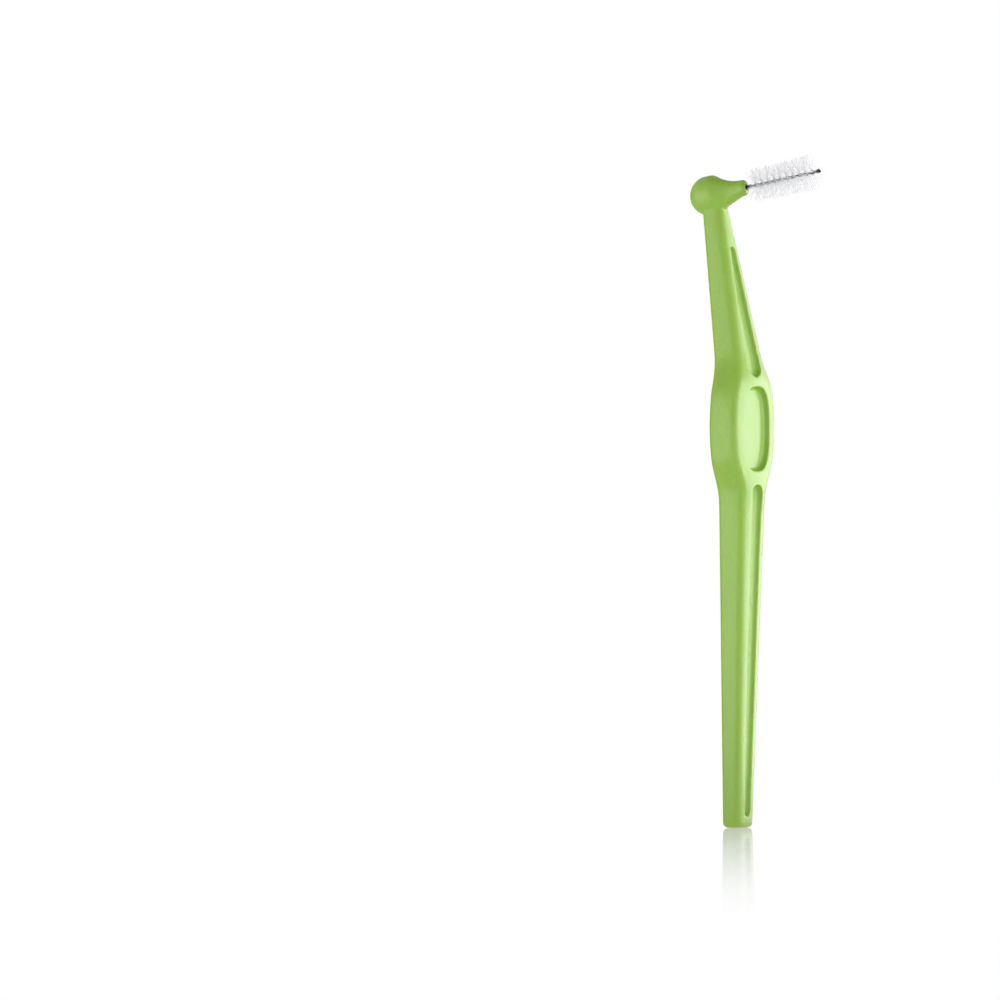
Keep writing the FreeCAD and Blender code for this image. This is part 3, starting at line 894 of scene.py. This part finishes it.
# %% One straight thread
THREAD_RADIUS = 0.03
THREAD_SIDES = 3
THREAD_CUTS = 7

thread = empty_mesh("thread")
bpy.ops.mesh.primitive_cylinder_add(vertices=THREAD_SIDES, radius=THREAD_RADIUS, depth=2,
                                    rotation=(0, math.pi / 2, 0))
pick("edges", lambda edge: abs(edge.verts[0].co.x - edge.verts[1].co.x) > 1)
bpy.ops.mesh.subdivide(number_cuts=THREAD_CUTS)
rest()
thread_mesh = thread.data.copy()
bpy.data.objects.remove(thread)
print("thread:", len(thread_mesh.vertices), "vertices", len(thread_mesh.polygons), "faces")

# %% [markdown]
# ## Tufts
# Each tuft is a number of copies of the thread, for half a turn of the twist. Each copy is
# bent and leaned by its own seeded numbers, and turned with the twist at its height. The
# spreads are given as a mean and a deviation. On average the halves lean a little towards the
# handle.

# %% Tufts of threads
TUFT_COUNT = 10
THREADS_PER_TUFT = 58
TUFT_START = 1.6
ROOT_RADIUS = 3.5
TIP_RADIUS = 3.85
LENGTH_RANGE = (0.9, 1.04)
TURN_SPREAD = (0, 0.16)
LEAN_SPREAD = (-0.10, 0.12)
BOW_SPREAD = (0, 0.10)
SWING_SPREAD = (0, 0.14)
SEED = 20

chance = random.Random(SEED)
brush_length = TUFT_COUNT * TWIST_PITCH / 2


def place_thread(height, share):
    """A copy of the thread, bent, leaned and turned to its place in the twist."""
    mesh = thread_mesh.copy()
    turn = 2 * math.pi * height / TWIST_PITCH + math.pi / 2 + chance.gauss(*TURN_SPREAD)
    halves = {}
    for side in (-1, 1):
        halves[side] = (between(ROOT_RADIUS, TIP_RADIUS, share) * chance.uniform(*LENGTH_RANGE),
                        chance.gauss(*LEAN_SPREAD), chance.gauss(*BOW_SPREAD),
                        chance.gauss(*SWING_SPREAD))
    for vert in mesh.vertices:
        side = 1 if vert.co.x >= 0 else -1
        length, lean, bow, swing = halves[side]
        out = abs(vert.co.x)
        bend = out * out
        vert.co = Vector((side * out * length,
                          vert.co.y + swing * length * bend,
                          vert.co.z + (lean * out + bow * bend) * length))
    mesh.transform(Matrix.Translation((0, 0, height)) @ Matrix.Rotation(turn, 4, "Z"))
    piece = bpy.data.objects.new("thread", mesh)
    bpy.context.scene.collection.objects.link(piece)
    return piece


tufts = []
for number in range(TUFT_COUNT):
    threads = []
    for index in range(THREADS_PER_TUFT):
        share = (number + (index + 0.5) / THREADS_PER_TUFT) / TUFT_COUNT
        threads.append(place_thread(TUFT_START + share * brush_length, share))
    tuft = join(threads)
    tuft.name = f"nylon_tuft_{number + 1:02d}"
    lay_on_wire(tuft)
    shrink_to_metres(tuft)
    tufts.append(tuft)

# %% [markdown]
# ## Leaf-green plastic
# The handle is polypropylene, moulded in a satin tool: one colour all through, slightly
# translucent, with a faint grain and tiny flow marks that only show in reflections. So the
# colour varies by a few hundredths, and the gloss and the bump carry the detail.

# %% Moulded plastic
PLASTIC_GREENS = ((0.35, (0.325, 0.555, 0.062)), (0.65, (0.345, 0.580, 0.070)))
FLOW_STRETCH = (1, 1, 0.35)

plastic, moulding, place = new_material("leaf_green_plastic")
stretch = node(moulding, "ShaderNodeMapping", Vector=place, Scale=FLOW_STRETCH)
flow = noise(moulding, stretch.outputs[0], 160.0, 4.0)
tint = two_tones(moulding, flow, *PLASTIC_GREENS)
grain = noise(moulding, place, 5200.0, 2.0)
gloss = remap(moulding, flow, (0.3, 0.7), (0.24, 0.3))
bump = node(moulding, "ShaderNodeBump", Strength=0.12, Distance=0.00002, Height=grain)
shell = node(moulding, "ShaderNodeBsdfPrincipled", Base_Color=tint, Roughness=gloss, IOR=1.6,
             Normal=bump.outputs[0], Subsurface_Weight=0.6, Subsurface_Scale=0.0016)
node(moulding, "ShaderNodeOutputMaterial", Surface=shell.outputs[0])
print(plastic.name, len(moulding.nodes), "nodes")

# %% [markdown]
# ## Drawn steel
# The wire was drawn through a die, so it is bright with fine scratches. Painted shade: the
# grooves of the twist are painted darker where an occlusion test finds them closed in, and the
# fold at the tip and the root in the mouth are painted near black, as shade and dark reflection.

# %% Steel wire
STEEL_GREYS = ((0.3, (0.17, 0.17, 0.19)), (0.7, (0.42, 0.42, 0.45)))
# Near black, painted where shade and dark reflection fall on the wire.
PAINTED_SHADE_BLACK = (0.01, 0.01, 0.012, 1)
TIP_RANGE = (0.0193, 0.0197)
MOUTH_RANGE = (0.0026, 0.0029)
GROOVE_REACH = 0.0004

steel, drawn, place = new_material("drawn_steel")
scratches = noise(drawn, place, 9000.0, 3.0)
shade = two_tones(drawn, scratches, *STEEL_GREYS)
along_x = node(drawn, "ShaderNodeSeparateXYZ", Vector=place).outputs["X"]
# Painted shade and dark reflection: the fold at the tip and the root in the mouth go near black.
painted_shade_at_tip = remap(drawn, along_x, TIP_RANGE, (0.0, 0.9), "SMOOTHSTEP")
painted_shade_at_mouth = remap(drawn, along_x, MOUTH_RANGE, (0.95, 0.0), "SMOOTHSTEP")
# Painted shade: an occlusion node finds the closed-in grooves of the twist, and they are painted
# darker.
groove = node(drawn, "ShaderNodeAmbientOcclusion", {"samples": 8}, Distance=GROOVE_REACH)
painted_shade_in_groove = remap(drawn, groove.outputs["AO"], (0.25, 0.8), (0.75, 0.0))
# All the painted shade together, mixed into the steel's grey.
painted_shade_share = combine(drawn, "MAXIMUM", combine(drawn, "MAXIMUM", painted_shade_at_tip, painted_shade_at_mouth), painted_shade_in_groove)
steel_with_painted_shade = node(drawn, "ShaderNodeMix", {"data_type": "RGBA"}, i0=painted_shade_share, i6=shade, i7=PAINTED_SHADE_BLACK)
wear = remap(drawn, scratches, (0.3, 0.7), (0.22, 0.38))
scratch_bump = node(drawn, "ShaderNodeBump", Strength=0.2, Distance=0.000005, Height=scratches)
metal = node(drawn, "ShaderNodeBsdfPrincipled", Base_Color=steel_with_painted_shade.outputs[2], Metallic=1.0,
             Roughness=wear, Normal=scratch_bump.outputs[0])
node(drawn, "ShaderNodeOutputMaterial", Surface=metal.outputs[0])
print(steel.name, len(drawn.nodes), "nodes")

# %% [markdown]
# ## Clear nylon
# A nylon thread is milky and lets light through, so a bundle of them looks like a pale haze
# that is darker only where the threads are many. Half of the shader is clear, and the other
# half has a faint glow in place of the light that a real thread scatters inside.

# %% Nylon threads
MILK_WHITES = ((0.3, (0.86, 0.86, 0.90)), (0.7, (0.95, 0.95, 0.97)))
CLEAR_SHARE = 0.5

nylon, milky, place = new_material("milky_nylon")
milk = two_tones(milky, noise(milky, place, 1500.0, 2.0), *MILK_WHITES)
lit_milk = node(milky, "ShaderNodeBsdfPrincipled", Base_Color=milk, Roughness=0.4, IOR=1.53,
                Emission_Color=WHITE, Emission_Strength=0.12)
glassy = node(milky, "ShaderNodeBsdfTransparent")
clear = node(milky, "ShaderNodeMixShader", i0=CLEAR_SHARE, i1=lit_milk.outputs[0],
             i2=glassy.outputs[0])
node(milky, "ShaderNodeOutputMaterial", Surface=clear.outputs[0])
print(nylon.name, len(milky.nodes), "nodes")

# %% [markdown]
# ## Ride the body and hide the CAD solids
# Every piece rides on the one body and takes one of the finishes made above. The
# CAD solids that it stands for are hidden, but stay in the physics model.

# %% Ride, replace and set the finishes
dressed = [(skin, "handle", "handle_plastic", plastic),
           (wire, "twisted_wire", "wire_steel", steel)]
dressed += [(tuft, f"filament_tuft_{number:02d}", "filament_nylon", nylon)
            for number, tuft in enumerate(tufts, start=1)]
for piece, solid, slot_name, finish in dressed:
    piece.data.materials.clear()
    piece.data.materials.append(finish)
    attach(piece, "root")
    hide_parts(solid)
print("dressed:", len(dressed), "pieces")
